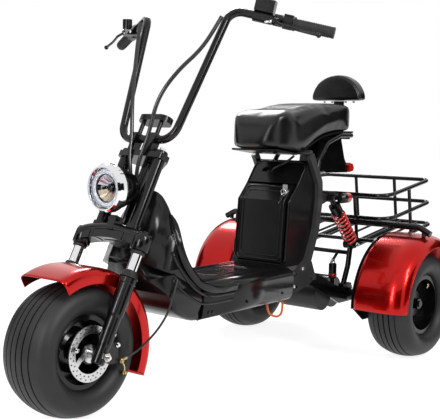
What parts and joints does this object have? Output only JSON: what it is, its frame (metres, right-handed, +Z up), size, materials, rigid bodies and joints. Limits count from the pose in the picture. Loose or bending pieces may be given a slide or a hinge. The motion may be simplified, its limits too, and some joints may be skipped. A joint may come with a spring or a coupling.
{
  "type": "electric three-wheel scooter",
  "caption": "Low electric trike scooter with raked fork, high handlebar, step-through floor, padded saddle with back-rest, rear basket and balloon tyres.",
  "frame": {"origin": "centre of the footprint box, on the floor under the wheels", "axes": "+X forward to the front wheel, +Y to the rider's left, +Z up"},
  "size_m": [1.991, 1.0124, 1.273],
  "materials": {
    "black_paint": "gloss black powder coat",
    "black_plastic": "satin black moulded plastic",
    "candy_red": "candy red lacquer",
    "hoop_grey": "dark grey satin paint",
    "chrome": "bright chrome plate",
    "steel": "zinc plated steel",
    "disc_steel": "ground stainless steel",
    "motor_alloy": "black finned alloy",
    "tyre_rubber": "ribbed tyre rubber",
    "vinyl": "smooth black vinyl",
    "grip_rubber": "moulded grip rubber",
    "lead_rubber": "black cable sheath",
    "lead_orange": "orange cable sheath",
    "lamp_glass": "clear lamp glass",
    "red_lens": "red lamp plastic",
    "mirror": "polished reflector",
    "spring_red": "bright red coated spring",
    "battery_case": "plain battery case"
  },
  "bodies": {
    "chassis": {"axle_housing": "black_paint", "backrest": "vinyl", "basket": "black_paint", "battery": "battery_case", "battery_box": "black_plastic", "belly_pan": "black_plastic", "charge_lead": "lead_rubber", "fender_plates": "black_paint", "floor_lead": "lead_orange", "footboard": "black_plastic", "front_cover": "black_plastic", "head_tube": "black_paint", "motor": "motor_alloy", "rear_fenders": "candy_red", "rear_frame": "black_paint", "rear_lenses": "red_lens", "saddle": "vinyl", "saddle_pan": "black_plastic", "shock_bodies": "black_paint", "shock_springs": "spring_red", "side_hoops": "hoop_grey", "swing_arm": "black_paint", "tail_bracket": "black_paint", "turn_signals": "black_plastic"},
    "steering": {"fork_legs": "black_paint", "fork_stanchions": "chrome", "front_axle": "steel", "lower_yoke": "black_paint", "upper_fork_tubes": "black_paint", "upper_yoke": "black_paint", "handlebar": "black_paint", "grips": "grip_rubber", "bar_controls": "black_plastic", "brake_levers": "black_paint", "display": "black_plastic", "headlight_shell": "black_paint", "headlight_ring": "chrome", "headlight_lens": "lamp_glass", "headlight_reflector": "mirror", "front_mudguard": "candy_red", "brake_caliper": "black_paint", "bar_looms": "lead_rubber", "front_brake_hose": "lead_rubber"},
    "front_wheel": {"front_tyre": "tyre_rubber", "front_rim": "black_paint", "front_brake_disc": "disc_steel"},
    "rear_left_wheel": {"rear_left_tyre": "tyre_rubber", "rear_left_rim": "black_paint"},
    "rear_right_wheel": {"rear_right_tyre": "tyre_rubber", "rear_right_rim": "black_paint"},
    "door": {"battery_door": "black_plastic", "door_lock": "steel"}
  },
  "joints": [
    {"name": "steering_turn", "type": "hinge", "parent": "chassis", "child": "steering", "pos_m": [0.753, 0, 0.18153], "axis": [-0.4772, 0, 0.8788], "range_deg": [-35, 35], "deforming": ["front_brake_hose"]},
    {"name": "front_wheel_spin", "type": "hinge", "parent": "steering", "child": "front_wheel", "pos_m": [0.79255, 0, 0.203], "axis": [0, 1, 0], "continuous": true},
    {"name": "rear_left_wheel_spin", "type": "hinge", "parent": "chassis", "child": "rear_left_wheel", "pos_m": [-0.57045, 0.393, 0.203], "axis": [0, 1, 0], "continuous": true},
    {"name": "rear_right_wheel_spin", "type": "hinge", "parent": "chassis", "child": "rear_right_wheel", "pos_m": [-0.57045, -0.393, 0.203], "axis": [0, 1, 0], "continuous": true},
    {"name": "battery_door_swing", "type": "hinge", "parent": "chassis", "child": "door", "pos_m": [-0.12445, -0.1105, 0.373], "axis": [0.0841, 0, -0.9965], "range_deg": [0, 100]}
  ]
}
